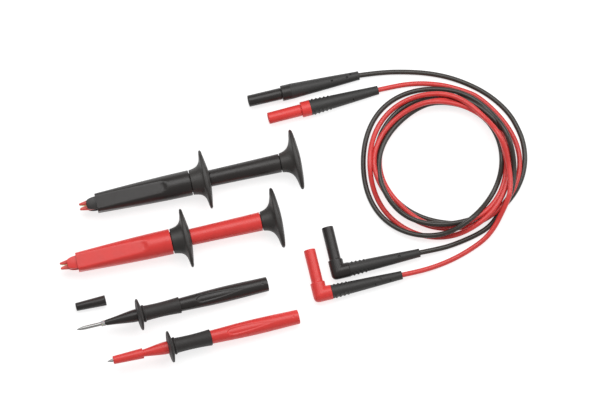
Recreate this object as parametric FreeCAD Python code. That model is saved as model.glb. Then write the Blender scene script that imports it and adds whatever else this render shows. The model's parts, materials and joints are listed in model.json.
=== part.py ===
import FreeCAD, Part
import math
import os

from FreeCAD import Placement, Rotation, Vector

# A test lead accessory kit for a hand-held meter, laid out on a table: two pincer
# clips, two needle probes with slip-on tip caps, and two leads, each with a
# straight plug, a loosely coiled cable and a right-angle plug.
# Millimetres, +Z up, table at z = 0. Every tool is drawn along its own +X axis,
# front end at x = 0, and is then put in its place on the table.

# ---------------------------------------------------------------- fits
SEAT_GAP = 0.02            # radial gap between pieces that are pressed together
RUNNING_GAP = 0.06         # radial gap between pieces that slide on each other
STOP_GAP = 0.1             # end gap of a sliding piece at its stop

# ---------------------------------------------------------------- 4 mm safety plug system
PIN_RADIUS = 2.0
SOCKET_BORE_RADIUS = 2.02
SOCKET_RADIUS = 2.6
SOCKET_DEPTH = 23.0
SOCKET_FLOOR = 3.0         # solid brass behind the bore
POST_RADIUS = 3.2          # insulated post round the brass socket
SHROUD_RADIUS = 4.55
SHROUD_BORE_RADIUS = 3.4
SHROUD_BORE_DEPTH = 23.7
SHROUD_LENGTH = 26.7
PIN_ROOT_RADIUS = 2.4      # the pin where it is held in the plug
RECESS_RADIUS = 4.7        # round hole that takes a plug's shroud
RECESS_DEPTH = 25.0
POST_SETBACK = 2.0         # the post stops short of the recess's mouth
RECESS_FLOOR = 4.0

# ---------------------------------------------------------------- pincer clip
CLIP_HEIGHT = 11.0         # axis above the table, half the flanges' short width
NOSE_WIDTH = 10.0
NOSE_LENGTH = 7.7
NOSE_HEIGHT = 9.8
NOSE_SLOT_HEIGHT = 5.2
GUIDE_WIDTH = 11.8         # the part of the nose guide inside the barrel
GUIDE_SLOT_END = 19.0
GUIDE_END = 24.0
BARREL_END = 82.7
BARREL_RADIUS = 10.0
BARREL_FRONT_WIDTH = 14.5
BARREL_FRONT_HEIGHT = 12.4
BARREL_FRONT_RADIUS = 8.4
FACET_END = 62.0           # where the barrel's flats run out into the round
CHAMBER_WALL = 0.1         # room round the guide inside the barrel
WEB_END = 28.0
REAR_BORE_START = 44.0
FRONT_BORE_RADIUS = 5.0
REAR_BORE_RADIUS = 7.6
SEAM = 0.6                 # groove between a tube and the flange behind it
FLANGE_HALF_HEIGHT = 11.0
FINGER_HALF_SPAN = 23.75
THUMB_HALF_SPAN = 24.2
FINGER_BORE_RADIUS = 7.0
PLUNGER_STROKE = 12.0
GUIDE_TUBE_RADIUS = 6.0    # plunger tube where it runs in the finger flange
PLUNGER_FRONT_RADIUS = 6.5
PLUNGER_REAR_RADIUS = 7.4
PLUNGER_STEP = 98.4        # where the plunger's outer taper starts
PLUNGER_END = 154.2
PLUNGER_WALL = 1.6
LIP_LENGTH = 4.0
SPIGOT_LENGTH = 7.6
ROD_RADIUS = 1.25
SPRING_RADIUS = 5.6
SPRING_WALL = 1.0
JAW_PIVOT = 14.0           # at rest, behind the nose's front end
JAW_REACH = 5.7            # jaws ahead of the nose
JAW_HEIGHT = 3.2
JAW_TIP_INNER = 1.5
JAW_TIP_OUTER = 2.7
JAW_WIDTH = 4.8            # outer side of the jaws inside the nose
KNUCKLE_RADIUS = 2.3
HINGE_PIN_RADIUS = 0.8
FORK_THICKNESS = 0.7
CONTACT_THICKNESS = 0.35

# ---------------------------------------------------------------- needle probe
PROBE_LENGTH = 153.0
TIP_RADIUS = 1.5
TIP_POINT = 5.2
TIP_ROOT_RADIUS = 1.3      # the rod where it is held in the ferrule and nose
TIP_ROD_END = 60.0
FERRULE_START = 19.7
FERRULE_RADIUS = 2.2
NOSE_START = 23.9
GUARD_PLACE = 50.5
GUARD_RADIUS = 12.5
GUARD_THICKNESS = 4.3
NOSE_REAR_RADIUS = 4.6
NOSE_SPIGOT_RADIUS = 3.4   # where the nose sits in the guard
GRIP_START = 52.7
GRIP_END = 82.7
GRIP_FRONT_RADIUS = 6.2
GRIP_WAIST_RADIUS = 5.75
GRIP_REAR_RADIUS = 6.3
PROBE_CORE_RADIUS = 4.7
PROBE_FRONT_RADIUS = 5.25
PROBE_MIDDLE_RADIUS = 6.2
PROBE_REAR_RADIUS = 5.65
PROBE_MIDDLE = 118.0
PROBE_BORE_RADIUS = 2.6
SCOOP_START = 98.7
SCOOP_LENGTH = 36.0
SCOOP_HEIGHT = 5.2         # flat of the scoop above the probe's axis
WIRE_RADIUS = 0.8

# ---------------------------------------------------------------- tip cap
CAP_LENGTH = 23.7
CAP_FRONT_RADIUS = 3.2
CAP_REAR_RADIUS = 4.1
CAP_MOUTH_RADIUS = 2.9     # clears the nose cone's front
CAP_MOUTH_DEPTH = 5.0
CAP_FRONT_WALL = 4.5
CAP_ON_PROBE = 4.7         # length of tip that shows ahead of the cap

# ---------------------------------------------------------------- lead
CABLE_RADIUS = 2.0
COLLAR_RADIUS = 6.1
COLLAR_LENGTH = 7.2
PIN_SETBACK = 2.5
PLUG_LENGTH = 89.0
BOOT_FRONT_RADIUS = 6.15
BOOT_REAR_RADIUS = 3.5
BOOT_SPIGOT_RADIUS = 3.3
BOOT_SPIGOT_LENGTH = 11.0
ELBOW_RADIUS = 5.75
ELBOW_TO_SHROUD = 9.6
ELBOW_TO_BOOT = 9.2
ELBOW_BOOT_FRONT_RADIUS = 5.4
ELBOW_BOOT_REAR_RADIUS = 3.35
ELBOW_BOOT_LENGTH = 56.2
ELBOW_SHROUD_LENGTH = 26.6

COIL_CENTRE = (174.4, 43.6)
COIL_RADII = (65.0, 60.5)
COIL_HOLE_RADII = (45.5, 44.0)
COIL_LAYER = 4.6           # height of one lead's half of the coiled turns

# ---------------------------------------------------------------- places on the table
# (x, y) of each tool's front end and the direction of its axis, in degrees from +X
PLACES = {
    "black_clip": (-103.6, 8.7, 12.6),
    "red_clip": (-118.3, -38.0, 12.8),
    "black_probe": (-110.7, -89.9, 14.3),
    "red_probe": (-86.7, -114.9, 14.0),
    "loose_cap": (-111.7, -70.1, 12.9),
    "black_plug": (22.2, 92.0, 13.9),
    "red_plug": (37.8, 78.3, 15.3),
    "black_elbow": (92.1, -42.8, 13.4),
    "red_elbow": (78.3, -60.6, 13.6),
}

# Free runs of cable between each plug and the coil, as points in the order of the
# cable, each (x, y, z). The boot's end comes before the first and after the last.
LEAD_IN_ROUTES = {
    "black": [
        (124.8, 116.0, 2.0), (143.9, 116.6, 2.0), (163.0, 115.5, 2.0),
        (181.8, 111.6, 2.0), (200.5, 103.9, 2.0), (214.9, 94.6, 2.0),
        (227.0, 82.4, 2.0),
    ],
    "red": [
        (134.6, 104.6, 2.0), (147.8, 106.9, 2.0), (162.1, 107.3, 2.0),
        (178.4, 105.3, 2.0),
    ],
}
TAIL_ROUTES = {
    "black": [
        (214.2, -1.6, 2.0), (208.2, -7.9, 2.0), (199.8, -13.0, 2.0),
        (190.4, -17.3, 2.0), (181.1, -21.0, 2.1), (171.9, -24.0, 3.2),
    ],
    "red": [
        (217.6, -0.7, 6.2), (213.0, -8.8, 5.2), (206.4, -16.6, 3.0),
        (195.6, -24.3, 2.0), (184.1, -31.0, 2.0), (174.0, -35.6, 2.0),
        (163.8, -39.4, 2.6), (152.9, -42.7, 4.6),
    ],
}


# ---------------------------------------------------------------- shapes
def outline(start, *moves):
    """Closed wire from a start and moves: (x, y) is a line, (via x, via y, x, y) an arc."""
    edges = []
    here = Vector(start[0], start[1], 0)
    for move in moves + (start,):
        there = Vector(move[-2], move[-1], 0)
        if len(move) == 4:
            via = Vector(move[0], move[1], 0)
            edges.append(Part.Arc(here, via, there).toShape())
        elif here.distanceToPoint(there) > 1e-6:
            edges.append(Part.LineSegment(here, there).toShape())
        here = there
    return Part.Wire(edges)


def turned(start, *moves):
    """Solid turned round the X axis from an outline of (x, radius) points."""
    face = Part.Face(outline(start, *moves))
    return face.revolve(Vector(0, 0, 0), Vector(1, 0, 0), 360)


def rod(start, end, radius):
    return Part.makeCylinder(radius, end - start, Vector(start, 0, 0), Vector(1, 0, 0))


def tube(start, end, radius, bore):
    return rod(start, end, radius).cut(rod(start - 1, end + 1, bore))


def block(start, end, width, height):
    corner = Vector(start, -width / 2, -height / 2)
    return Part.makeBox(end - start, width, height, corner)


def plate(low, high, start, *moves):
    """Flat piece between two heights from an outline seen from above."""
    face = Part.Face(outline(start, *moves))
    face.translate(Vector(0, 0, low))
    return face.extrude(Vector(0, 0, high - low))


def oval_bar(start, end, half_width, half_height):
    """Bar along X with an oval section, wide in Y."""
    ellipse = Part.Ellipse(Vector(0, 0, 0), half_width, half_height).toShape()
    face = Part.Face(Part.Wire([ellipse]))
    face.rotate(Vector(0, 0, 0), Vector(0, 1, 0), 90)
    face.rotate(Vector(0, 0, 0), Vector(1, 0, 0), 90)
    face.translate(Vector(start, 0, 0))
    return face.extrude(Vector(end - start, 0, 0))


def place_tool(shapes, place, height, pitch=0.0):
    """Puts a tool's pieces on the table. A positive pitch lowers the rear end."""
    x, y, yaw = place
    turn = Rotation(Vector(0, 0, 1), yaw).multiply(Rotation(Vector(0, 1, 0), pitch))
    placement = Placement(Vector(x, y, height), turn)
    for name in shapes:
        shapes[name] = shapes[name].copy()
        shapes[name].Placement = placement.multiply(shapes[name].Placement)
    return shapes


def drop_pitch(front_radius, rear_radius, length):
    """Tilt of an axis whose two ends rest on the table at different radii."""
    return math.degrees(math.atan((front_radius - rear_radius) / length))


def on_axis(place, height, pitch, distance):
    """Point of the table frame at a distance along a placed tool's axis."""
    x, y, yaw = place
    level = distance * math.cos(math.radians(pitch))
    drop = distance * math.sin(math.radians(pitch))
    return (
        x + level * math.cos(math.radians(yaw)),
        y + level * math.sin(math.radians(yaw)),
        height - drop,
    )


# ---------------------------------------------------------------- 4 mm socket
def socket_recess(mouth):
    """Ring-shaped recess for a plug's shroud, cut forward from its mouth at x = mouth."""
    floor = mouth - RECESS_DEPTH
    hole = rod(floor, mouth + 5, RECESS_RADIUS)
    return hole.cut(rod(floor - 1, mouth - POST_SETBACK, POST_RADIUS))


def socket_hole(mouth):
    """Hole through the post that holds the brass socket."""
    return rod(socket_front(mouth) - 1, mouth, SOCKET_RADIUS + SEAT_GAP)


def socket_front(mouth):
    return mouth - RECESS_DEPTH - RECESS_FLOOR


def brass_socket(mouth):
    front = socket_front(mouth)
    rear = mouth - POST_SETBACK - 0.3
    body = rod(front, rear, SOCKET_RADIUS)
    return body.cut(rod(rear - SOCKET_DEPTH, rear + 1, SOCKET_BORE_RADIUS))


# ---------------------------------------------------------------- pincer clip
def clip_barrel():
    round_body = turned(
        (NOSE_LENGTH, 0),
        (NOSE_LENGTH, BARREL_FRONT_RADIUS),
        (FACET_END, BARREL_RADIUS - 0.2),
        (BARREL_END, BARREL_RADIUS),
        (BARREL_END, 0),
    )
    flats = []
    ends = (
        (NOSE_LENGTH, BARREL_FRONT_WIDTH / 2, BARREL_FRONT_HEIGHT / 2),
        (FACET_END, BARREL_RADIUS, BARREL_RADIUS),
        (BARREL_END, BARREL_RADIUS + 1, BARREL_RADIUS + 1),
    )
    for x, half_width, half_height in ends:
        corners = [
            Vector(x, y * half_width, z * half_height)
            for y, z in ((-1, -1), (1, -1), (1, 1), (-1, 1), (-1, -1))
        ]
        flats.append(Part.makePolygon(corners))
    body = round_body.common(Part.makeLoft(flats, True, True))
    chamber = block(
        NOSE_LENGTH - 1, GUIDE_END + STOP_GAP,
        GUIDE_WIDTH + CHAMBER_WALL, NOSE_HEIGHT + CHAMBER_WALL,
    )
    body = body.cut(chamber)
    body = body.cut(rod(0, REAR_BORE_START, ROD_RADIUS + 0.35))
    body = body.cut(rod(WEB_END, REAR_BORE_START, FRONT_BORE_RADIUS))
    return body.cut(rod(REAR_BORE_START, BARREL_END + 1, REAR_BORE_RADIUS))


def clip_nose_guide():
    half = NOSE_WIDTH / 2
    low, high = -NOSE_HEIGHT / 2, NOSE_HEIGHT / 2
    tab = plate(
        low, high,
        (NOSE_LENGTH, -half), (NOSE_LENGTH, half), (half, half), (0, 0, half, -half),
    )
    body = tab.fuse(block(NOSE_LENGTH, GUIDE_END, GUIDE_WIDTH, NOSE_HEIGHT))
    body = body.cut(block(-1, GUIDE_SLOT_END, 2 * GUIDE_WIDTH, NOSE_SLOT_HEIGHT))
    return body.cut(rod(0, GUIDE_END + 1, ROD_RADIUS + RUNNING_GAP)).removeSplitter()


def finger_flange():
    front = BARREL_END + SEAM
    middle = BARREL_END + SEAM / 2
    body = turned(
        (front, FINGER_BORE_RADIUS),
        (front, 9.8),
        (middle + 7.0, 11.9, middle + 10.1, 17.5),
        (middle + 10.6, FINGER_HALF_SPAN - 1.1),
        (middle + 11.8, FINGER_HALF_SPAN, middle + 12.9, FINGER_HALF_SPAN - 0.9),
        (middle + 14.7, 12.0, middle + 15.2, FINGER_BORE_RADIUS),
    )
    body = body.common(
        oval_bar(front - 1, front + 20, FINGER_HALF_SPAN + 0.2, FLANGE_HALF_HEIGHT)
    )
    spigot_bore = GUIDE_TUBE_RADIUS + RUNNING_GAP
    spigot = tube(
        BARREL_END - SPIGOT_LENGTH, front, REAR_BORE_RADIUS - SEAT_GAP, spigot_bore
    )
    return body.fuse(spigot).removeSplitter()


def plunger_tube():
    lip_end = BARREL_END - SPIGOT_LENGTH - STOP_GAP
    lip_start = lip_end - LIP_LENGTH
    inner = GUIDE_TUBE_RADIUS - PLUNGER_WALL
    seat_start = PLUNGER_END - spigot_reach()
    outer = turned(
        (lip_start, 0),
        (lip_start, REAR_BORE_RADIUS - RUNNING_GAP),
        (lip_end, REAR_BORE_RADIUS - RUNNING_GAP),
        (lip_end, GUIDE_TUBE_RADIUS),
        (PLUNGER_STEP, GUIDE_TUBE_RADIUS),
        (PLUNGER_STEP, PLUNGER_FRONT_RADIUS),
        (PLUNGER_END, PLUNGER_REAR_RADIUS),
        (PLUNGER_END, 0),
    )
    body = outer.cut(rod(lip_start - 1, PLUNGER_END + 1, ROD_RADIUS + SEAT_GAP))
    body = body.cut(rod(lip_start + LIP_LENGTH, PLUNGER_END + 1, inner))
    return body.cut(rod(seat_start, PLUNGER_END + 1, RECESS_RADIUS + 1.2 + SEAT_GAP))


def spigot_reach():
    """Length of the thumb flange's spigot inside the plunger tube."""
    mouth_to_seam = 15.7
    return RECESS_DEPTH + RECESS_FLOOR - mouth_to_seam


def thumb_mouth():
    return PLUNGER_END + SEAM / 2 + 16.0


def thumb_flange():
    middle = PLUNGER_END + SEAM / 2
    front = PLUNGER_END + SEAM
    body = turned(
        (front, 0),
        (front, 7.6),
        (middle + 6.4, 9.9, middle + 10.0, 16.3),
        (middle + 11.2, THUMB_HALF_SPAN - 1.8),
        (middle + 12.8, THUMB_HALF_SPAN, middle + 14.6, THUMB_HALF_SPAN - 2.2),
        (middle + 15.4, 15.0, thumb_mouth(), RECESS_RADIUS + 0.6),
        (thumb_mouth(), 0),
    )
    body = body.common(
        oval_bar(front - 1, front + 20, THUMB_HALF_SPAN + 0.2, FLANGE_HALF_HEIGHT)
    )
    body = body.fuse(rod(socket_front(thumb_mouth()), front, RECESS_RADIUS + 1.2))
    body = body.cut(socket_recess(thumb_mouth()))
    return body.cut(socket_hole(thumb_mouth())).removeSplitter()


def pull_rod():
    """Brass rod from the jaws' fork to the socket."""
    half = JAW_HEIGHT / 2
    fork_top = half + STOP_GAP + FORK_THICKNESS
    fork_end = JAW_PIVOT + KNUCKLE_RADIUS + 0.3
    body = rod(fork_end, socket_front(thumb_mouth()), ROD_RADIUS)
    body = body.fuse(block(fork_end, fork_end + 1.6, 3.4, 2 * fork_top))
    for low in (half + STOP_GAP, -fork_top):
        ear = plate(
            low, low + FORK_THICKNESS,
            (fork_end + 0.5, -1.7), (fork_end + 0.5, 1.7), (JAW_PIVOT, 1.7),
            (JAW_PIVOT - 1.7, 0, JAW_PIVOT, -1.7),
        )
        body = body.fuse(ear)
    pin = Part.makeCylinder(HINGE_PIN_RADIUS, 2 * fork_top, Vector(JAW_PIVOT, 0, -fork_top))
    return body.fuse(pin).removeSplitter()


def jaw(side):
    """One jaw, on the +Y side for side = 1. Its knuckle has the upper or lower half."""
    half = JAW_HEIGHT / 2
    inner = 0.1 + CONTACT_THICKNESS
    arm_end = JAW_PIVOT - KNUCKLE_RADIUS - 0.3
    arm = plate(
        -half, half,
        (-JAW_REACH, side * JAW_TIP_INNER), (-JAW_REACH, side * JAW_TIP_OUTER),
        (1.5, side * JAW_WIDTH), (arm_end, side * JAW_WIDTH),
        (arm_end, side * inner), (-1.2, side * inner),
    )
    low, high = (0.05, half) if side > 0 else (-half, -0.05)
    web = plate(
        low, high,
        (arm_end - 0.5, side * inner), (arm_end - 0.5, side * JAW_WIDTH),
        (JAW_PIVOT, side * KNUCKLE_RADIUS), (JAW_PIVOT, 0),
    )
    knuckle = Part.makeCylinder(KNUCKLE_RADIUS, high - low, Vector(JAW_PIVOT, 0, low))
    bore = Part.makeCylinder(
        HINGE_PIN_RADIUS + RUNNING_GAP, JAW_HEIGHT + 2, Vector(JAW_PIVOT, 0, -half - 1)
    )
    return arm.fuse([web, knuckle]).removeSplitter().cut(bore)


def contact(side):
    """Brass strip on a jaw's inner face."""
    inner = 0.1 + CONTACT_THICKNESS
    half = JAW_HEIGHT / 2 - 0.5
    front_slope = (JAW_TIP_INNER - inner) / (JAW_REACH - 1.2)
    front = -JAW_REACH + 0.7
    front_inner = inner - front_slope * (front + 1.2)
    return plate(
        -half, half,
        (front, side * front_inner), (-1.2, side * inner), (8.0, side * inner),
        (8.0, side * 0.1), (-1.3, side * 0.1), (front, side * (front_inner - CONTACT_THICKNESS)),
    )


def clip(colour):
    lip_start = BARREL_END - SPIGOT_LENGTH - STOP_GAP - LIP_LENGTH
    spring = tube(
        REAR_BORE_START + STOP_GAP, lip_start - STOP_GAP,
        FRONT_BORE_RADIUS + 1.4, FRONT_BORE_RADIUS + 1.4 - SPRING_WALL,
    )
    pieces = {
        "barrel": clip_barrel(),
        "nose_guide": clip_nose_guide(),
        "finger_flange": finger_flange(),
        "plunger_tube": plunger_tube(),
        "thumb_flange": thumb_flange(),
        "pull_rod": pull_rod(),
        "jaw_left": jaw(1),
        "jaw_right": jaw(-1),
        "contact_left": contact(1),
        "contact_right": contact(-1),
        "return_spring": spring,
        "socket": brass_socket(thumb_mouth()),
    }
    prefix = colour + "_clip"
    named = {prefix + "_" + name: shape for name, shape in pieces.items()}
    return place_tool(named, PLACES[prefix], CLIP_HEIGHT)


# ---------------------------------------------------------------- needle probe
def probe_tip_rod():
    shoulder = FERRULE_START - 0.02
    return turned(
        (0, 0),
        (TIP_POINT, TIP_RADIUS),
        (shoulder, TIP_RADIUS),
        (shoulder, TIP_ROOT_RADIUS),
        (TIP_ROD_END, TIP_ROOT_RADIUS),
        (TIP_ROD_END, 0),
    )


def nose_cone():
    """Nose of the probe, with a spigot that sits in the guard."""
    end = GUARD_PLACE - GUARD_THICKNESS / 2
    bore = TIP_ROOT_RADIUS + SEAT_GAP
    return turned(
        (NOSE_START, bore),
        (NOSE_START, FERRULE_RADIUS),
        (39.0, 3.9, end, NOSE_REAR_RADIUS),
        (end, NOSE_SPIGOT_RADIUS),
        (GUARD_PLACE, NOSE_SPIGOT_RADIUS),
        (GUARD_PLACE, bore),
    )


def guard_grip():
    """Soft grip with the finger guard at its front, over the probe's core."""
    half = GUARD_THICKNESS / 2
    rim = 0.3
    front = GUARD_PLACE - half + SEAT_GAP
    return turned(
        (front, NOSE_SPIGOT_RADIUS + SEAT_GAP),
        (front, NOSE_REAR_RADIUS),
        (GUARD_PLACE - 1.3, 9.0, GUARD_PLACE - rim, GUARD_RADIUS),
        (GUARD_PLACE + rim, GUARD_RADIUS),
        (GUARD_PLACE + 1.3, 9.0, GRIP_START, GRIP_FRONT_RADIUS - 0.3),
        (GRIP_START, GRIP_FRONT_RADIUS),
        (67.0, GRIP_WAIST_RADIUS, GRIP_END, GRIP_REAR_RADIUS),
        (GRIP_END, PROBE_CORE_RADIUS + SEAT_GAP),
        (GRIP_START, PROBE_CORE_RADIUS + SEAT_GAP),
        (GRIP_START, TIP_ROOT_RADIUS + SEAT_GAP),
        (GUARD_PLACE + SEAT_GAP, TIP_ROOT_RADIUS + SEAT_GAP),
        (GUARD_PLACE + SEAT_GAP, NOSE_SPIGOT_RADIUS + SEAT_GAP),
    )


def probe_barrel():
    front = GRIP_START + SEAT_GAP
    recess_front = socket_front(PROBE_LENGTH)
    body = turned(
        (front, 0),
        (front, PROBE_CORE_RADIUS),
        (GRIP_END + 0.1, PROBE_CORE_RADIUS),
        (GRIP_END + 0.1, PROBE_FRONT_RADIUS),
        (PROBE_MIDDLE, PROBE_MIDDLE_RADIUS, PROBE_LENGTH - 0.6, PROBE_REAR_RADIUS),
        (PROBE_LENGTH, PROBE_REAR_RADIUS - 0.5),
        (PROBE_LENGTH, 0),
    )
    scoop = Part.makeBox(
        SCOOP_LENGTH, 20, 5, Vector(SCOOP_START, -10, SCOOP_HEIGHT)
    )
    body = body.cut(scoop)
    body = body.cut(rod(front - 1, TIP_ROD_END, TIP_ROOT_RADIUS + SEAT_GAP))
    body = body.cut(rod(TIP_ROD_END, recess_front - 0.01, PROBE_BORE_RADIUS))
    body = body.cut(socket_recess(PROBE_LENGTH))
    return body.cut(socket_hole(PROBE_LENGTH))


def probe(colour):
    prefix = colour + "_probe"
    pieces = {
        "tip_rod": probe_tip_rod(),
        "ferrule": tube(
            FERRULE_START, NOSE_START - 0.02, FERRULE_RADIUS, TIP_ROOT_RADIUS + SEAT_GAP
        ),
        "nose": nose_cone(),
        "guard_grip": guard_grip(),
        "barrel": probe_barrel(),
        "inner_wire": rod(TIP_ROD_END, socket_front(PROBE_LENGTH), WIRE_RADIUS),
        "socket": brass_socket(PROBE_LENGTH),
    }
    named = {prefix + "_" + name: shape for name, shape in pieces.items()}
    if colour == "red":
        cap = tip_cap()
        cap.translate(Vector(CAP_ON_PROBE, 0, 0))
        named["red_cap"] = cap
    return place_tool(named, PLACES[prefix], probe_height(), probe_pitch())


def probe_pitch():
    """The probe lies on its guard's rim and on its rear end."""
    reach = PROBE_LENGTH - 0.6 - GUARD_PLACE
    return drop_pitch(GUARD_RADIUS, PROBE_REAR_RADIUS, reach)


def probe_height():
    pitch = math.radians(probe_pitch())
    return GUARD_RADIUS * math.cos(pitch) + (GUARD_PLACE + 0.3) * math.sin(pitch)


# ---------------------------------------------------------------- tip cap
def tip_cap():
    return turned(
        (0, TIP_RADIUS + RUNNING_GAP),
        (0, CAP_FRONT_RADIUS - 0.5),
        (0.5, CAP_FRONT_RADIUS),
        (CAP_LENGTH, CAP_REAR_RADIUS),
        (CAP_LENGTH, CAP_MOUTH_RADIUS),
        (CAP_LENGTH - CAP_MOUTH_DEPTH, CAP_MOUTH_RADIUS),
        (CAP_LENGTH - CAP_MOUTH_DEPTH, FERRULE_RADIUS + RUNNING_GAP),
        (CAP_FRONT_WALL, FERRULE_RADIUS + RUNNING_GAP),
        (CAP_FRONT_WALL, TIP_RADIUS + RUNNING_GAP),
    )


def loose_cap():
    pitch = drop_pitch(CAP_FRONT_RADIUS, CAP_REAR_RADIUS, CAP_LENGTH)
    height = CAP_FRONT_RADIUS * math.cos(math.radians(pitch)) + 0.02
    return place_tool({"black_cap": tip_cap()}, PLACES["loose_cap"], height, pitch)


# ---------------------------------------------------------------- leads
def plug_pin(end):
    """Pin of a plug whose shroud starts at x = 0, held behind the shroud's bore."""
    return turned(
        (PIN_SETBACK, 0),
        (PIN_SETBACK, PIN_RADIUS - 0.8),
        (PIN_SETBACK + 0.8, PIN_RADIUS),
        (SHROUD_BORE_DEPTH, PIN_RADIUS),
        (SHROUD_BORE_DEPTH, PIN_ROOT_RADIUS),
        (end, PIN_ROOT_RADIUS),
        (end, 0),
    )


def plug_pitch():
    """A straight plug lies on its boot, from the front of the boot to its end."""
    boot_start = SHROUD_LENGTH + COLLAR_LENGTH
    return drop_pitch(BOOT_FRONT_RADIUS, BOOT_REAR_RADIUS, PLUG_LENGTH - boot_start)


def plug_height():
    pitch = math.radians(plug_pitch())
    return BOOT_REAR_RADIUS * math.cos(pitch) + PLUG_LENGTH * math.sin(pitch)


def straight_plug(colour):
    boot_start = SHROUD_LENGTH + COLLAR_LENGTH
    spigot_end = boot_start + BOOT_SPIGOT_LENGTH
    shroud = turned(
        (0, SHROUD_BORE_RADIUS),
        (0, SHROUD_RADIUS),
        (SHROUD_LENGTH, SHROUD_RADIUS),
        (SHROUD_LENGTH, COLLAR_RADIUS),
        (boot_start - 0.02, COLLAR_RADIUS),
        (boot_start - 0.02, BOOT_SPIGOT_RADIUS),
        (spigot_end, BOOT_SPIGOT_RADIUS),
        (spigot_end, PIN_ROOT_RADIUS + SEAT_GAP),
        (SHROUD_BORE_DEPTH, PIN_ROOT_RADIUS + SEAT_GAP),
        (SHROUD_BORE_DEPTH, SHROUD_BORE_RADIUS),
    )
    boot = turned(
        (boot_start, BOOT_SPIGOT_RADIUS + SEAT_GAP),
        (boot_start, BOOT_FRONT_RADIUS),
        (PLUG_LENGTH, BOOT_REAR_RADIUS),
        (PLUG_LENGTH, 0),
        (spigot_end + 0.1, 0),
        (spigot_end + 0.1, BOOT_SPIGOT_RADIUS + SEAT_GAP),
    )
    prefix = colour + "_plug"
    named = {
        prefix + "_shroud": shroud,
        prefix + "_pin": plug_pin(spigot_end),
        prefix + "_boot": boot,
    }
    return place_tool(named, PLACES[prefix], plug_height(), plug_pitch())


def plug_exit(colour):
    return on_axis(PLACES[colour + "_plug"], plug_height(), plug_pitch(), PLUG_LENGTH)


def elbow_exit(colour):
    return on_axis(PLACES[colour + "_elbow"], ELBOW_RADIUS, 0, ELBOW_TO_BOOT + ELBOW_BOOT_LENGTH)


def up_shroud(shape):
    """Turns a shape drawn back along +X from the shroud's mouth onto the elbow's +Y arm."""
    shape.rotate(Vector(0, 0, 0), Vector(0, 0, 1), -90)
    shape.translate(Vector(0, ELBOW_TO_SHROUD + ELBOW_SHROUD_LENGTH, 0))
    return shape


def elbow_plug(colour):
    """Right-angle plug: boot along +X, shroud along +Y, corner at the origin."""
    corner = ELBOW_TO_SHROUD + ELBOW_SHROUD_LENGTH
    boot_end = ELBOW_TO_BOOT + ELBOW_BOOT_LENGTH
    spigot_end = ELBOW_TO_BOOT + BOOT_SPIGOT_LENGTH
    body = Part.makeSphere(ELBOW_RADIUS, Vector(0, 0, 0))
    body = body.fuse(rod(0, ELBOW_TO_BOOT - 0.02, ELBOW_RADIUS))
    body = body.fuse(up_shroud(rod(ELBOW_SHROUD_LENGTH, corner, ELBOW_RADIUS)))
    body = body.fuse(up_shroud(rod(0, corner, SHROUD_RADIUS)))
    body = body.fuse(rod(0, spigot_end, BOOT_SPIGOT_RADIUS - 0.5))
    body = body.cut(up_shroud(rod(-1, SHROUD_BORE_DEPTH, SHROUD_BORE_RADIUS)))
    body = body.cut(up_shroud(rod(0, corner, PIN_ROOT_RADIUS + SEAT_GAP)))
    boot = turned(
        (ELBOW_TO_BOOT, BOOT_SPIGOT_RADIUS - 0.5 + SEAT_GAP),
        (ELBOW_TO_BOOT, ELBOW_BOOT_FRONT_RADIUS),
        (boot_end, ELBOW_BOOT_REAR_RADIUS),
        (boot_end, 0),
        (spigot_end + 0.1, 0),
        (spigot_end + 0.1, BOOT_SPIGOT_RADIUS - 0.5 + SEAT_GAP),
    )
    prefix = colour + "_elbow"
    named = {
        prefix + "_housing": body.removeSplitter(),
        prefix + "_pin": up_shroud(plug_pin(corner)),
        prefix + "_boot": boot,
    }
    return place_tool(named, PLACES[prefix], ELBOW_RADIUS)


def cable_path(route):
    """Straight runs joined by tangent arcs, as large as the two runs at each point allow."""
    points = [Vector(*p) for p in route]
    edges = []
    radii = []
    here = points[0]
    for before, corner, after in zip(points, points[1:], points[2:]):
        back = (before - corner).normalize()
        ahead = (after - corner).normalize()
        half_turn = (math.pi - back.getAngle(ahead)) / 2
        shorter = min(before.distanceToPoint(corner), after.distanceToPoint(corner))
        radius = 0.45 * shorter / math.tan(half_turn)
        radii.append(radius)
        start = corner + back * (0.45 * shorter)
        end = corner + ahead * (0.45 * shorter)
        middle_way = (back + ahead).normalize()
        centre = corner + middle_way * (radius / math.cos(half_turn))
        middle = centre - middle_way * radius
        edges.append(Part.LineSegment(here, start).toShape())
        edges.append(Part.Arc(start, middle, end).toShape())
        here = end
    edges.append(Part.LineSegment(here, points[-1]).toShape())
    return Part.Wire(edges), radii


def cable(name, route):
    """Round cable along a route, with its least bend and its volume check printed."""
    path, radii = cable_path(route)
    start = Vector(*route[0])
    direction = Vector(*route[1]) - start
    section = Part.Wire([Part.makeCircle(CABLE_RADIUS, start, direction)])
    solid = path.makePipeShell([section], True, False)
    wanted = math.pi * CABLE_RADIUS ** 2 * path.Length
    print(
        f"{name}: length {path.Length:.1f} mm, least radius {min(radii):.1f} mm,"
        f" volume {solid.Volume / wanted:.4f} of section times length,"
        f" lowest {solid.BoundBox.ZMin:.3f} mm"
    )
    return solid


def coil(layer):
    """One lead's share of the coiled turns: a flat oval ring."""
    rings = []
    for radii in (COIL_RADII, COIL_HOLE_RADII):
        ellipse = Part.Ellipse(Vector(0, 0, 0), radii[0], radii[1]).toShape()
        rings.append(Part.Face(Part.Wire([ellipse])))
    face = rings[0].cut(rings[1])
    face.translate(Vector(COIL_CENTRE[0], COIL_CENTRE[1], layer * COIL_LAYER))
    return face.extrude(Vector(0, 0, COIL_LAYER)).Solids[0]


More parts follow.
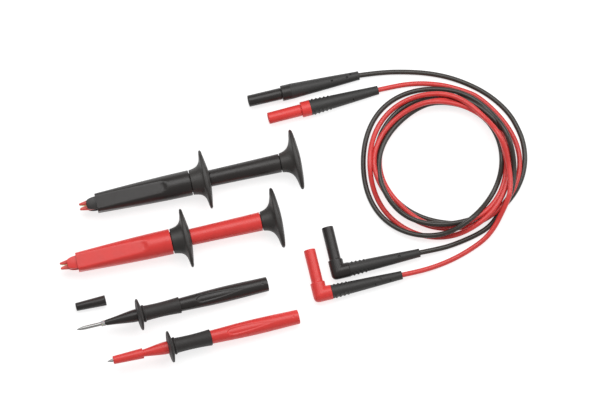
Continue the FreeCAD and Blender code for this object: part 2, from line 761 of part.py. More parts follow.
def lead(colour, layer):
    lead_in = [plug_exit(colour)] + LEAD_IN_ROUTES[colour]
    tail = TAIL_ROUTES[colour] + [elbow_exit(colour)]
    named = straight_plug(colour)
    named.update(elbow_plug(colour))
    named[colour + "_cable_lead_in"] = cable(colour + " lead in", lead_in)
    named[colour + "_cable_coil"] = coil(layer)
    named[colour + "_cable_tail"] = cable(colour + " tail", tail)
    return named


# ---------------------------------------------------------------- the kit
def build():
    nodes = {}
    for layer, colour in enumerate(("black", "red")):
        nodes.update(clip(colour))
        nodes.update(probe(colour))
        nodes.update(lead(colour, layer))
    nodes.update(loose_cap())
    os.makedirs("parts", exist_ok=True)
    for name, shape in nodes.items():
        shape.exportStep("parts/" + name + ".step")
    print(len(nodes), "nodes")
    return nodes


build()
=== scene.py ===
import json
import math

import bmesh
import bpy
import numpy as np
from mathutils import Matrix, Vector


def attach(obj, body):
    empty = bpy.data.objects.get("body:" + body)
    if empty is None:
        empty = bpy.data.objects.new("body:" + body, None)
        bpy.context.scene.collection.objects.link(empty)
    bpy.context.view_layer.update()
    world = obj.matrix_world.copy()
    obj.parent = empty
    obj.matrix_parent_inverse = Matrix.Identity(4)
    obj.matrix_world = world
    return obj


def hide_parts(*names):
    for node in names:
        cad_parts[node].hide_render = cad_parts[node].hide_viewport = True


# A test lead accessory kit on a table: two pincer clips, two needle probes with tip
# caps, and two leads with shrouded plugs. Every tool is modelled in millimetres along
# its own +X axis, front end at x = 0, and is then put where the frame holds it.

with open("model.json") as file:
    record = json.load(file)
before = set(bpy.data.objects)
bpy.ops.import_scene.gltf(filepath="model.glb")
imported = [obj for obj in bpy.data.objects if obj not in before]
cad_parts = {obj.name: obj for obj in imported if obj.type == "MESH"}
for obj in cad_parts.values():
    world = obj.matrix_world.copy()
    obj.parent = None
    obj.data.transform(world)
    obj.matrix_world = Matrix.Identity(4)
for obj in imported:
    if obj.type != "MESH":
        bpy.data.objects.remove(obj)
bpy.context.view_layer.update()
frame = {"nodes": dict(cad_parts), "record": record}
record = frame["record"]
MM = 0.001


# ---------------------------------------------------------------- places from the frame
def mount(name):
    return next(m for m in record["mounts"] if m["name"] == name)


def tool_matrix(name, distance, backwards=False):
    """Places a tool drawn along +X by a mount that lies on its axis at that distance."""
    found = mount(name)
    axis = Vector(found["axis"]).normalized()
    if backwards:
        axis = -axis
    across = Vector((0, 0, 1)).cross(axis).normalized()
    up = axis.cross(across)
    turn = Matrix((axis, across, up)).transposed().to_4x4()
    origin = Vector(found["pos_m"]) - axis * distance * MM
    return Matrix.Translation(origin) @ turn @ Matrix.Scale(MM, 4)


def elbow_matrix(name, distance):
    """Places a right-angle plug, drawn with its shroud along +Y, by its pin's mount."""
    found = mount(name)
    along_y = Vector(found["axis"]).normalized()
    up = Vector((0, 0, 1))
    along_x = along_y.cross(up).normalized()
    turn = Matrix((along_x, along_y, up)).transposed().to_4x4()
    origin = Vector(found["pos_m"]) - along_y * distance * MM
    return Matrix.Translation(origin) @ turn @ Matrix.Scale(MM, 4)


# ---------------------------------------------------------------- camera, light and table
PICTURE_WIDTH = 0.468      # metres of table across the view at its centre
AIM = Vector((0.0625, 0.0087, 0.0))
ELEVATION = math.radians(80)
LENS = 400.0
SENSOR = 36.0


def add_camera():
    data = bpy.data.cameras.new("camera")
    data.lens = LENS
    data.sensor_width = SENSOR
    camera = bpy.data.objects.new("camera", data)
    bpy.context.scene.collection.objects.link(camera)
    distance = PICTURE_WIDTH * LENS / SENSOR
    camera.location = AIM + distance * Vector((0, -math.cos(ELEVATION), math.sin(ELEVATION)))
    camera.rotation_euler = (math.pi / 2 - ELEVATION, 0, 0)
    bpy.context.scene.camera = camera


def add_area_light(name, place, size, power, aim):
    data = bpy.data.lights.new(name, "AREA")
    data.shape = "RECTANGLE"
    data.size, data.size_y = size
    data.energy = power
    light = bpy.data.objects.new(name, data)
    bpy.context.scene.collection.objects.link(light)
    light.location = place
    light.rotation_euler = (Vector(aim) - Vector(place)).to_track_quat("-Z", "Y").to_euler()
    return light


def add_studio():
    scene = bpy.context.scene
    scene.view_settings.view_transform = "Standard"
    world = bpy.data.worlds.new("studio")
    scene.world = world
    world.use_nodes = True
    world.node_tree.nodes["Background"].inputs["Color"].default_value = (1, 1, 1, 1)
    world.node_tree.nodes["Background"].inputs["Strength"].default_value = 0.35
    add_area_light("overhead", (0.05, 0.45, 0.95), (1.3, 0.7), 8.9, (0.05, 0.0, 0.0))
    add_area_light("side", (0.95, 0.25, 0.8), (0.35, 0.8), 2.7, (0.05, 0.0, 0.0))
    bm = bmesh.new()
    bmesh.ops.create_grid(bm, x_segments=1, y_segments=1, size=1.5)
    mesh = bpy.data.meshes.new("table")
    bm.to_mesh(mesh)
    bm.free()
    table = bpy.data.objects.new("table", mesh)
    scene.collection.objects.link(table)
    table.data.materials.append(table_paper())


# ---------------------------------------------------------------- materials
def new_material(name):
    material = bpy.data.materials.new(name)
    material.use_nodes = True
    return material, material.node_tree.nodes, material.node_tree.links


def noise(nodes, links, scale, detail=3.0, roughness=0.55):
    """Noise in Object coordinates; scale is in cells per metre."""
    coordinates = nodes.new("ShaderNodeTexCoord")
    texture = nodes.new("ShaderNodeTexNoise")
    texture.inputs["Scale"].default_value = scale
    texture.inputs["Detail"].default_value = detail
    texture.inputs["Roughness"].default_value = roughness
    links.new(coordinates.outputs["Object"], texture.inputs["Vector"])
    return texture.outputs["Fac"]


def ramp(nodes, links, source, low, high, start=0.3, end=0.7):
    """Maps a factor to a value or colour between low and high."""
    found = nodes.new("ShaderNodeValToRGB")
    found.color_ramp.elements[0].position = start
    found.color_ramp.elements[1].position = end
    for element, value in zip(found.color_ramp.elements, (low, high)):
        element.color = (*value, 1) if isinstance(value, tuple) else (value, value, value, 1)
    links.new(source, found.inputs["Fac"])
    return found.outputs["Color"]


def shade(colour, share):
    return tuple(c * share for c in colour)


def moulded(name, colour, roughness, grain, grain_depth, mottle=0.08, sheen=0.0, specular=0.5):
    """Moulded plastic or rubber: fine surface grain, faint mottling and uneven gloss."""
    material, nodes, links = new_material(name)
    shader = nodes["Principled BSDF"]
    broad = noise(nodes, links, 90.0)
    fine = noise(nodes, links, grain, 4.0)
    colours = ramp(
        nodes, links, broad, shade(colour, 1 - mottle), shade(colour, 1 + mottle)
    )
    links.new(colours, shader.inputs["Base Color"])
    gloss = ramp(nodes, links, broad, roughness - 0.05, roughness + 0.05)
    links.new(gloss, shader.inputs["Roughness"])
    bump = nodes.new("ShaderNodeBump")
    bump.inputs["Strength"].default_value = 0.6
    bump.inputs["Distance"].default_value = grain_depth
    links.new(fine, bump.inputs["Height"])
    links.new(bump.outputs["Normal"], shader.inputs["Normal"])
    shader.inputs["Specular IOR Level"].default_value = specular
    shader.inputs["Sheen Weight"].default_value = sheen
    return material


def metal(name, colour, roughness, brushed=(1.0, 1.0, 1.0), depth=0.00002):
    """Metal with fine tool marks; brushed stretches the marks along an axis."""
    material, nodes, links = new_material(name)
    shader = nodes["Principled BSDF"]
    shader.inputs["Metallic"].default_value = 1.0
    coordinates = nodes.new("ShaderNodeTexCoord")
    mapping = nodes.new("ShaderNodeMapping")
    mapping.inputs["Scale"].default_value = brushed
    texture = nodes.new("ShaderNodeTexNoise")
    texture.inputs["Scale"].default_value = 2500.0
    texture.inputs["Detail"].default_value = 3.0
    links.new(coordinates.outputs["Object"], mapping.inputs["Vector"])
    links.new(mapping.outputs["Vector"], texture.inputs["Vector"])
    colours = ramp(nodes, links, texture.outputs["Fac"], shade(colour, 0.82), colour)
    links.new(colours, shader.inputs["Base Color"])
    gloss = ramp(nodes, links, texture.outputs["Fac"], roughness, roughness + 0.15)
    links.new(gloss, shader.inputs["Roughness"])
    bump = nodes.new("ShaderNodeBump")
    bump.inputs["Strength"].default_value = 0.4
    bump.inputs["Distance"].default_value = depth
    links.new(texture.outputs["Fac"], bump.inputs["Height"])
    links.new(bump.outputs["Normal"], shader.inputs["Normal"])
    return material


def clear_sleeve(name, colour):
    material = moulded(name, colour, 0.3, 1500.0, 0.00001, 0.04)
    shader = material.node_tree.nodes["Principled BSDF"]
    shader.inputs["Subsurface Weight"].default_value = 0.4
    shader.inputs["Subsurface Scale"].default_value = 0.002
    return material


def table_paper():
    material = moulded("table_paper", (0.45, 0.45, 0.45), 0.9, 400.0, 0.00002, 0.005)
    shader = material.node_tree.nodes["Principled BSDF"]
    shader.inputs["Specular IOR Level"].default_value = 0.1
    shader.inputs["Emission Color"].default_value = (1, 1, 1, 1)
    shader.inputs["Emission Strength"].default_value = 0.74
    return material


CHARCOAL = (0.022, 0.019, 0.018)
RED = (0.74, 0.046, 0.040)
SHELL = {
    "black": moulded("charcoal_shell", CHARCOAL, 0.36, 2600.0, 0.00002, specular=0.42),
    "red": moulded("red_shell", RED, 0.38, 2600.0, 0.00002, 0.04),
}
FLANGE = moulded("flange_shell", (0.027, 0.024, 0.022), 0.5, 3000.0, 0.00004)
JAW = moulded("jaw_shell", (0.68, 0.065, 0.05), 0.4, 2600.0, 0.00003, 0.04)
GRIP = moulded("grip_rubber", (0.024, 0.021, 0.020), 0.6, 3500.0, 0.00005, 0.1, 0.05)
BOOT = moulded("boot_rubber", (0.027, 0.026, 0.025), 0.55, 3200.0, 0.00004, 0.1, 0.05)
CABLE = {
    "black": moulded("black_silicone", (0.036, 0.031, 0.026), 0.33, 900.0, 0.00002, 0.06),
    "red": moulded("red_silicone", (0.66, 0.050, 0.045), 0.33, 900.0, 0.00002, 0.04),
}
FERRULE = clear_sleeve("ferrule_sleeve", (0.42, 0.42, 0.40))
STEEL = metal("ground_steel", (0.42, 0.42, 0.41), 0.32, (1.0, 8.0, 8.0), 0.000004)
BRASS = metal("turned_brass", (0.38, 0.27, 0.12), 0.3)
NICKEL = metal("nickel_plate", (0.60, 0.58, 0.54), 0.22)
SPRING = metal("spring_wire", (0.34, 0.34, 0.34), 0.35)


# ---------------------------------------------------------------- mesh helpers
def arc(start, via, end, steps=8):
    """Points of the circle through three points, from start to end."""
    (ax, ay), (bx, by), (cx, cy) = start, via, end
    d = 2 * (ax * (by - cy) + bx * (cy - ay) + cx * (ay - by))
    a2, b2, c2 = ax * ax + ay * ay, bx * bx + by * by, cx * cx + cy * cy
    ux = (a2 * (by - cy) + b2 * (cy - ay) + c2 * (ay - by)) / d
    uy = (a2 * (cx - bx) + b2 * (ax - cx) + c2 * (bx - ax)) / d
    radius = math.hypot(ax - ux, ay - uy)
    first = math.atan2(ay - uy, ax - ux)
    middle = math.atan2(by - uy, bx - ux)
    last = math.atan2(cy - uy, cx - ux)
    turn = (last - first) % math.tau
    if (middle - first) % math.tau > turn:
        turn -= math.tau
    angles = [first + turn * i / steps for i in range(steps + 1)]
    return [(ux + radius * math.cos(a), uy + radius * math.sin(a)) for a in angles]


def softened(points, radius, steps=4):
    """An open outline with each inner corner rounded, as far as its sides allow."""
    done = [points[0]]
    for before, corner, after in zip(points, points[1:], points[2:]):
        b, c, a = Vector(before), Vector(corner), Vector(after)
        back, ahead = b - c, a - c
        if back.length < 1e-6 or ahead.length < 1e-6:
            continue
        turn = math.pi - back.angle(ahead)
        if turn < 0.15:
            done.append(corner)
            continue
        reach = min(radius * math.tan(turn / 2), back.length * 0.45, ahead.length * 0.45)
        start = c + back.normalized() * reach
        end = c + ahead.normalized() * reach
        for i in range(steps + 1):
            t = i / steps
            point = start * (1 - t) ** 2 + c * 2 * t * (1 - t) + end * t * t
            done.append(tuple(point))
    done.append(points[-1])
    return done


def divided(points, longest):
    """The outline with its long stretches cut into equal steps."""
    done = [points[0]]
    for a, b in zip(points, points[1:]):
        steps = max(1, math.ceil(math.hypot(b[0] - a[0], b[1] - a[1]) / longest))
        for i in range(1, steps + 1):
            t = i / steps
            done.append((a[0] + (b[0] - a[0]) * t, a[1] + (b[1] - a[1]) * t))
    return done


def lathe(points, segments, closed=False):
    """Spins an outline of (x, radius) points once round the X axis."""
    bm = bmesh.new()
    verts = [bm.verts.new((x, r, 0)) for x, r in points]
    edges = [bm.edges.new(pair) for pair in zip(verts, verts[1:])]
    if closed:
        edges.append(bm.edges.new((verts[-1], verts[0])))
    bmesh.ops.spin(
        bm, geom=verts + edges, cent=(0, 0, 0), axis=(1, 0, 0), angle=math.tau,
        steps=segments, use_merge=True, use_duplicate=False,
    )
    bmesh.ops.remove_doubles(bm, verts=bm.verts, dist=0.002)
    bmesh.ops.recalc_face_normals(bm, faces=bm.faces)
    return bm


def prism(points, low, high, edge=0.25):
    """Flat piece between two heights from an outline seen from above, edges rounded."""
    bm = bmesh.new()
    face = bm.faces.new([bm.verts.new((x, y, low)) for x, y in points])
    made = bmesh.ops.extrude_face_region(bm, geom=[face])["geom"]
    top = [g for g in made if isinstance(g, bmesh.types.BMVert)]
    bmesh.ops.translate(bm, verts=top, vec=(0, 0, high - low))
    bmesh.ops.recalc_face_normals(bm, faces=bm.faces)
    if edge:
        bmesh.ops.bevel(
            bm, geom=list(bm.edges), offset=edge, offset_type="OFFSET", segments=3,
            profile=0.5, affect="EDGES", clamp_overlap=True, material=-1,
        )
    return bm


def join(*parts):
    """One bmesh out of several."""
    whole = parts[0]
    for part in parts[1:]:
        mesh = bpy.data.meshes.new("joined")
        part.to_mesh(mesh)
        whole.from_mesh(mesh)
        part.free()
        bpy.data.meshes.remove(mesh)
    return whole


SHARP = math.radians(38)


def put(bm, name, matrix, body, material, slot, *nodes):
    """Finishes a piece: into its place in the frame, on its body, in its material."""
    for face in bm.faces:
        face.smooth = True
    for edge in bm.edges:
        if len(edge.link_faces) == 2 and edge.calc_face_angle() > SHARP:
            edge.smooth = False
    bmesh.ops.transform(bm, matrix=matrix, verts=bm.verts)
    mesh = bpy.data.meshes.new(name)
    bm.to_mesh(mesh)
    bm.free()
    mesh.materials.append(material)
    piece = bpy.data.objects.new(name, mesh)
    bpy.context.scene.collection.objects.link(piece)
    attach(piece, body)
    if nodes:
        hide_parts(*nodes)
    return piece


def smooth_step(value, low, high):
    t = min(1.0, max(0.0, (value - low) / (high - low)))
    return t * t * (3 - 2 * t)


# ---------------------------------------------------------------- cables
CABLE_DIAMETER = 0.004
COIL_CENTRE = Vector((0.1744, 0.0436, 0.0))
LEAD_IN = {
    "black": [
        (0.1248, 0.1160, 0.0020), (0.1439, 0.1166, 0.0020), (0.1630, 0.1155, 0.0020),
        (0.1818, 0.1116, 0.0020), (0.2005, 0.1039, 0.0020), (0.2149, 0.0946, 0.0020),
        (0.2270, 0.0824, 0.0020),
    ],
    "red": [
        (0.1346, 0.1046, 0.0020), (0.1478, 0.1069, 0.0020), (0.1621, 0.1073, 0.0020),
        (0.1784, 0.1053, 0.0020),
    ],
}
TAIL = {
    "black": [
        (0.2142, -0.0016, 0.0020), (0.2082, -0.0079, 0.0020), (0.1998, -0.0130, 0.0020),
        (0.1904, -0.0173, 0.0020), (0.1811, -0.0210, 0.0021), (0.1719, -0.0240, 0.0032),
    ],
    "red": [
        (0.2176, -0.0007, 0.0062), (0.2130, -0.0088, 0.0052), (0.2064, -0.0166, 0.0030),
        (0.1956, -0.0243, 0.0020), (0.1841, -0.0310, 0.0020), (0.1740, -0.0356, 0.0020),
        (0.1638, -0.0394, 0.0026), (0.1529, -0.0427, 0.0046),
    ],
}
# The loose turns, clockwise in eighths of a turn: (radius in mm, order of lying), where
# a stretch with a higher order lies on those with a lower one.
COIL_START = {"black": 45, "red": 90}
COIL_TURNS = {
    "black": [
        (65.0, 0), (63.6, 0), (56.0, 0), (46.8, 0), (46.6, 0), (52.4, 0), (54.4, 1), (53.3, 1),
        (51.3, 3), (52.9, 1), (51.0, 1), (49.8, 5), (52.5, 5), (50.4, 5), (46.8, 4), (47.9, 0),
        (48.2, 0), (45.5, 3), (46.4, 3), (57.0, 8), (64.1, 8), (62.6, 3), (64.5, 3), (58.5, 3),
        (53.5, 2), (54.7, 5), (60.2, 6),
    ],
    "red": [
        (62.5, 2), (57.8, 2), (59.7, 4), (56.2, 3), (51.7, 3), (50.2, 3), (54.3, 6), (50.4, 6),
        (47.2, 6), (47.2, 4), (48.8, 2), (50.8, 4), (50.9, 3), (48.0, 4), (50.0, 2), (48.8, 1),
        (49.3, 1), (49.3, 1), (50.8, 4), (54.3, 5), (58.7, 6), (59.6, 6), (57.6, 7), (58.5, 7),
        (53.7, 7), (46.6, 8), (49.9, 9), (61.9, 9),
    ],
}
EIGHTH = 45.0
FINE_STEP = 2.5            # degrees between the points at which the turns are settled
POINT_STEP = 7.5           # degrees between the points of the cable's own spline
LEFT_TO_LEAD_IN = 3        # the coil's first points, which the lead-in replaces
LEFT_TO_TAIL = 2           # and its last ones, which the tail replaces
NEXT_TO_ITSELF = 12        # fine points within which a turn doesn't lie on itself
SMOOTHING = 3.5            # fine points over which the heights are evened out
SMOOTHING_REACH = 8


def between(values, place):
    """Smooth curve through evenly spaced values."""
    last = len(values) - 1
    i = min(int(place), last - 1)
    t = place - i
    p0, p1, p2, p3 = (values[min(max(i + k, 0), last)] for k in (-1, 0, 1, 2))
    return 0.5 * (
        2 * p1 + (p2 - p0) * t + (2 * p0 - 5 * p1 + 4 * p2 - p3) * t * t
        + (3 * p1 - p0 - 3 * p2 + p3) * t ** 3
    )


def coil_line(colour):
    """Fine points of a lead's turns: their places on the table and their order of lying."""
    radii = [radius for radius, order in COIL_TURNS[colour]]
    orders = [order for radius, order in COIL_TURNS[colour]]
    sweep = EIGHTH * (len(radii) - 1)
    points = []
    ranks = []
    for i in range(int(sweep / FINE_STEP) + 1):
        place = i * FINE_STEP / EIGHTH
        angle = math.radians(COIL_START[colour] - i * FINE_STEP)
        radius = between(radii, place) * MM
        points.append((radius * math.cos(angle), radius * math.sin(angle)))
        low = int(place)
        high = min(low + 1, len(orders) - 1)
        ranks.append(orders[low] + (orders[high] - orders[low]) * (place - low))
    return np.array(points), np.array(ranks)


def settled_heights(lines, rounds=5):
    """Heights at which the turns lie on the table and on each other."""
    places = np.vstack([points for points, ranks in lines])
    ranks = np.concatenate([ranks for points, ranks in lines])
    owner = np.concatenate([np.full(len(r), k) for k, (p, r) in enumerate(lines)])
    index = np.concatenate([np.arange(len(r)) for p, r in lines])
    gap = np.linalg.norm(places[:, None] - places[None], axis=2)
    apart = (owner[:, None] != owner[None]) | (
        np.abs(index[:, None] - index[None]) > NEXT_TO_ITSELF
    )
    below = apart & (gap < CABLE_DIAMETER) & (ranks[None] < ranks[:, None] - 1e-6)
    step_up = np.sqrt(np.maximum(CABLE_DIAMETER ** 2 - gap ** 2, 0))
    heights = np.full(len(ranks), CABLE_DIAMETER / 2)
    order = np.argsort(ranks, kind="stable")
    reach = SMOOTHING_REACH
    kernel = np.exp(-0.5 * (np.arange(-reach, reach + 1) / SMOOTHING) ** 2)
    kernel /= kernel.sum()
    for turn in range(rounds):
        for i in order:
            lower = below[i]
            if lower.any():
                heights[i] = max(heights[i], (heights[lower] + step_up[i][lower]).max())
        for k in range(len(lines)):
            mine = heights[owner == k]
            wide = np.convolve(np.pad(mine, reach, mode="edge"), kernel, mode="valid")
            heights[owner == k] = np.maximum(mine, wide) if turn < rounds - 1 else wide
    return [heights[owner == k] for k in range(len(lines))]


def cable_exits(colour):
    """Rear ends of the straight plug's boot and of the right-angle plug's boot."""
    plug = tool_matrix(colour + "_plug_pin", PLUG_TO_PIN, True)
    straight = plug @ Vector((PLUG_LENGTH, 0, 0))
    elbow = elbow_matrix(colour + "_elbow_pin", ELBOW_TO_PIN)
    angled = elbow @ Vector((ELBOW_TO_BOOT + ELBOW_BOOT_LENGTH, 0, 0))
    return straight, angled


def add_cable(colour, points):
    curve = bpy.data.curves.new(colour + "_cable", "CURVE")
    curve.dimensions = "3D"
    spline = curve.splines.new("NURBS")
    spline.points.add(len(points) - 1)
    for point, place in zip(spline.points, points):
        point.co = (*place, 1)
    spline.order_u = 3
    spline.use_endpoint_u = True
    spline.resolution_u = 6
    curve.bevel_depth = CABLE_DIAMETER / 2
    curve.bevel_resolution = 5
    curve.use_fill_caps = True
    curve.materials.append(CABLE[colour])
    cable = bpy.data.objects.new(colour + "_cable", curve)
    bpy.context.scene.collection.objects.link(cable)
    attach(cable, "root")
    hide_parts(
        colour + "_cable_lead_in", colour + "_cable_coil", colour + "_cable_tail"
    )
    return cable


def spline_length(points):
    """Length of the quadratic spline that these control points give."""
    line = [Vector(points[0])]
    for a, b, c in zip(points, points[1:], points[2:]):
        a, b, c = Vector(a), Vector(b), Vector(c)
        start, end = (a + b) / 2, (b + c) / 2
        for i in range(5):
            t = i / 4
            line.append(start * (1 - t) ** 2 + b * 2 * t * (1 - t) + end * t * t)
    line.append(Vector(points[-1]))
    return sum((b - a).length for a, b in zip(line, line[1:]))


def add_cables():
    colours = ("black", "red")
    lines = [coil_line(colour) for colour in colours]
    heights = settled_heights(lines)
    every = int(POINT_STEP / FINE_STEP)
    kept = slice(LEFT_TO_LEAD_IN * every, -LEFT_TO_TAIL * every, every)
    cables = {}
    for colour, line, height in zip(colours, lines, heights):
        turns = [
            (COIL_CENTRE.x + x, COIL_CENTRE.y + y, z)
            for (x, y), z in zip(line[0][kept], height[kept])
        ]
        start, end = cable_exits(colour)
        points = [tuple(start), *LEAD_IN[colour], *turns, *TAIL[colour], tuple(end)]
        cables[colour] = (add_cable(colour, points), start, spline_length(points))
        print(colour, "cable", round(cables[colour][2], 4), "m, top", round(max(height), 4))
    return cables


# ---------------------------------------------------------------- shapes shared by the tools
def flowing(points, steps=6):
    """Smooth curve through the points, with speeds that follow their spacing."""
    ends = [points[0]] + list(points) + [points[-1]]
    done = [points[0]]
    for p0, p1, p2, p3 in zip(ends, ends[1:], ends[2:], ends[3:]):
        p0, p1, p2, p3 = (Vector(p) for p in (p0, p1, p2, p3))
        d0, d1, d2 = ((b - a).length or 1e-3 for a, b in ((p0, p1), (p1, p2), (p2, p3)))
        out = ((p1 - p0) / d0 * d1 + (p2 - p1) / d1 * d0) / (d0 + d1) * d1
        into = ((p2 - p1) / d1 * d2 + (p3 - p2) / d2 * d1) / (d1 + d2) * d1
        for i in range(1, steps + 1):
            t = i / steps
            point = (
                p1 * (2 * t ** 3 - 3 * t ** 2 + 1) + out * (t ** 3 - 2 * t ** 2 + t)
                + p2 * (3 * t ** 2 - 2 * t ** 3) + into * (t ** 3 - t ** 2)
            )
            done.append((point.x, max(point.y, 0.0)))
    return done


def move_points(bm, rule):
    """Moves each point by a rule given its distance along X, its radius and its angle."""
    for vert in bm.verts:
        x, y, z = vert.co
        vert.co = rule(x, math.hypot(y, z), math.atan2(z, y))


def ringed(x, radius, angle):
    return Vector((x, radius * math.cos(angle), radius * math.sin(angle)))


def dimple(x, radius, angle, place, across, size, depth):
    """How far a small round dimple lowers the surface; across is its place sideways."""
    if math.sin(angle) < 0:
        return 0.0
    apart = math.hypot(x - place, radius * math.cos(angle) - across)
    return depth * (1 - smooth_step(apart, 0.6 * size, size))


RECESS_RADIUS = 4.7
RECESS_DEPTH = 25.0
POST_RADIUS = 3.2
POST_SETBACK = 2.0
POST_BORE = 2.62


def recess_outline(mouth):
    """Ring recess for a plug's shroud, and the post in it, from the mouth inwards."""
    floor = mouth - RECESS_DEPTH
    post = mouth - POST_SETBACK
    return [
        (mouth - 0.3, RECESS_RADIUS), (floor, RECESS_RADIUS), (floor, POST_RADIUS),
        (post - 0.3, POST_RADIUS), (post, POST_RADIUS - 0.25), (post, POST_BORE + 0.1),
        (post - 0.1, POST_BORE), (floor - 4, POST_BORE),
    ]


# ---------------------------------------------------------------- pincer clips
CLIP_TO_SOCKET = 158.2     # from the nose's front end to the socket's mount
BARREL_START = 7.7
FACET_END = 62.0
BARREL_END = 82.7
FINGER_SEAM = 83.0
THUMB_SEAM = 154.5
SEAM_HALF = 0.3
FLANGE_HALF_HEIGHT = 11.0
FINGER_STEM = 9.8
FINGER_SPAN = 23.6
THUMB_STEM = 7.6
THUMB_SPAN = 24.2
JAW_PIVOT = 14.0


def clip_barrel():
    """Tapering tube, squared at its front, whose flats run out towards the rear."""
    outside = softened(
        [(BARREL_START, 6.0), (BARREL_START, 8.4), (FACET_END, 9.8), (BARREL_END, 10.0),
         (BARREL_END, 7.6)], 0.55,
    )
    inside = [(60.0, 7.6), (44.0, 7.6), (44.0, 5.0), (24.0, 5.0), (23.9, 8.4), (9.0, 8.4)]
    bm = lathe(divided(outside, 1.6) + inside, 160, closed=True)
    sharpness = 48             # how crisply the flats meet the round

    def squared(x, radius, angle):
        """Keeps the round surface inside a box that opens towards the rear."""
        share = (x - BARREL_START) / (FACET_END - BARREL_START)
        inner = radius < 5.5 or (x < 24.5 and abs(radius - 8.4) < 1e-4 and x > 8.9)
        if inner and x < 24.5:
            width, height = 5.95, 4.95
        elif abs(x - BARREL_START) < 0.02 and radius < 6.1:
            width, height, radius = 5.2, 5.0, 7.0
        else:
            flat_end = FACET_END - 0.10 * (radius * math.cos(angle)) ** 2
            width = 7.25 + 2.9 * share
            height = 6.2 + 2.35 * share + 4 * smooth_step(x, flat_end, flat_end + 5.0)
        c, s = abs(math.cos(angle)) + 1e-6, abs(math.sin(angle)) + 1e-6
        total = radius ** -sharpness
        total += (width / c) ** -sharpness + (height / s) ** -sharpness
        return ringed(x, total ** (-1 / sharpness), angle)

    move_points(bm, squared)
    return bm


def clip_nose():
    """Two round-ended plates with the jaws' slot between them, joined inside the barrel."""
    outline = [(24.0, -5.9), (24.0, 5.9), (8.6, 5.9), (8.2, 5.0), (6.4, 5.0)]
    side = [(4.6, 4.75), (2.6, 4.3), (1.0, 3.6), (0.2, 2.7), (0.0, 1.2)]
    outline += side + [(x, -y) for x, y in reversed(side)]
    outline += [(6.4, -5.0), (8.2, -5.0), (8.6, -5.9)]
    web = prism([(19.0, -5.5), (24.0, -5.5), (24.0, 5.5), (19.0, 5.5)], -2.7, 2.7, 0)
    return join(prism(outline, 2.6, 4.9, 0.55), prism(outline, -4.9, -2.6, 0.4), web)


def flange(outline, stem, span):
    """Turned flange pressed flat into an oval with two wings."""
    bm = lathe(outline, 144, closed=True)
    tall = FLANGE_HALF_HEIGHT

    def oval(x, radius, angle):
        if radius <= stem:
            return ringed(x, radius, angle)
        wide = span * tall / math.hypot(tall * math.cos(angle), span * math.sin(angle))
        return ringed(x, stem + (radius - stem) * (wide - stem) / (span - stem), angle)

    move_points(bm, oval)
    return bm


def finger_flange():
    skirt = [
        (0.5, 9.8), (3.4, 10.35), (5.6, 11.0), (7.5, 12.2), (9.2, 14.6), (10.0, 17.6),
        (10.6, 21.6), (11.1, 23.2), (11.9, 23.6), (12.6, 23.0), (13.3, 20.0), (14.3, 14.0),
        (15.0, 9.0),
    ]
    outline = [(FINGER_SEAM + x, r) for x, r in flowing(skirt, 5)]
    front = FINGER_SEAM + SEAM_HALF
    hidden = [
        (FINGER_SEAM + 15.2, 7.5), (FINGER_SEAM + 15.1, 7.0), (front, 7.0), (front, 6.06),
        (front - 8.2, 6.06), (front - 8.2, 7.58), (front, 7.58), (front, 9.45),
        (front + 0.1, 9.7),
    ]
    return flange(outline + hidden, FINGER_STEM, FINGER_SPAN)


def thumb_flange():
    skirt = [
        (0.5, 7.6), (3.2, 8.2), (5.3, 9.1), (7.3, 10.7), (8.8, 12.9), (10.1, 16.6),
        (11.1, 21.6), (11.8, 23.7), (12.8, 24.2), (13.7, 23.5), (14.5, 20.8), (15.2, 16.0),
        (15.8, 9.0), (16.0, 5.6),
    ]
    outline = [(THUMB_SEAM + x, r) for x, r in flowing(skirt, 5)]
    mouth = THUMB_SEAM + 16.0
    front = THUMB_SEAM + SEAM_HALF
    hidden = [(mouth - 0.05, 5.0)] + recess_outline(mouth)
    hidden += [(mouth - 29, 5.88), (front, 5.88), (front, 7.3), (front + 0.1, 7.5)]
    return flange(outline + hidden, THUMB_STEM, THUMB_SPAN)


def plunger_tube():
    outline = [
        (71.0, 1.3), (71.0, 7.3), (71.2, 7.54), (74.8, 7.54), (75.0, 7.3), (75.0, 6.0),
        (98.4, 6.0), (98.4, 6.3), (98.6, 6.5), (103.0, 6.55), (120.0, 6.78), (140.0, 7.1),
        (153.6, 7.38), (153.95, 7.36), (154.2, 7.1), (154.2, 5.92), (140.9, 5.92),
        (140.9, 4.4), (75.0, 4.4), (75.0, 1.3),
    ]
    return lathe(outline, 96, closed=True)


def jaw(side):
    """Wedge-shaped prong and arm, with half the height at its knuckle."""
    outline = [
        (-5.7, 1.7 * side), (-5.5, 2.45 * side), (-5.1, 2.65 * side), (1.5, 3.9 * side),
        (11.4, 4.4 * side), (11.4, 0.45 * side), (-1.6, 0.45 * side), (-5.3, 1.35 * side),
    ]
    low, high = (0.05, 1.6) if side > 0 else (-1.6, -0.05)
    web = [
        (10.6, 0.45 * side), (10.6, 4.3 * side), (11.4, 4.3 * side),
        (JAW_PIVOT - 0.4, 2.3 * side),
    ]
    web += arc(
        (JAW_PIVOT, 2.3 * side), (JAW_PIVOT + 2.3, 0), (JAW_PIVOT, -2.3 * side), 12
    )
    web += [(JAW_PIVOT - 1.2, -1.9 * side)]
    return join(prism(outline, -1.6, 1.6, 0.28), prism(web, low, high, 0))


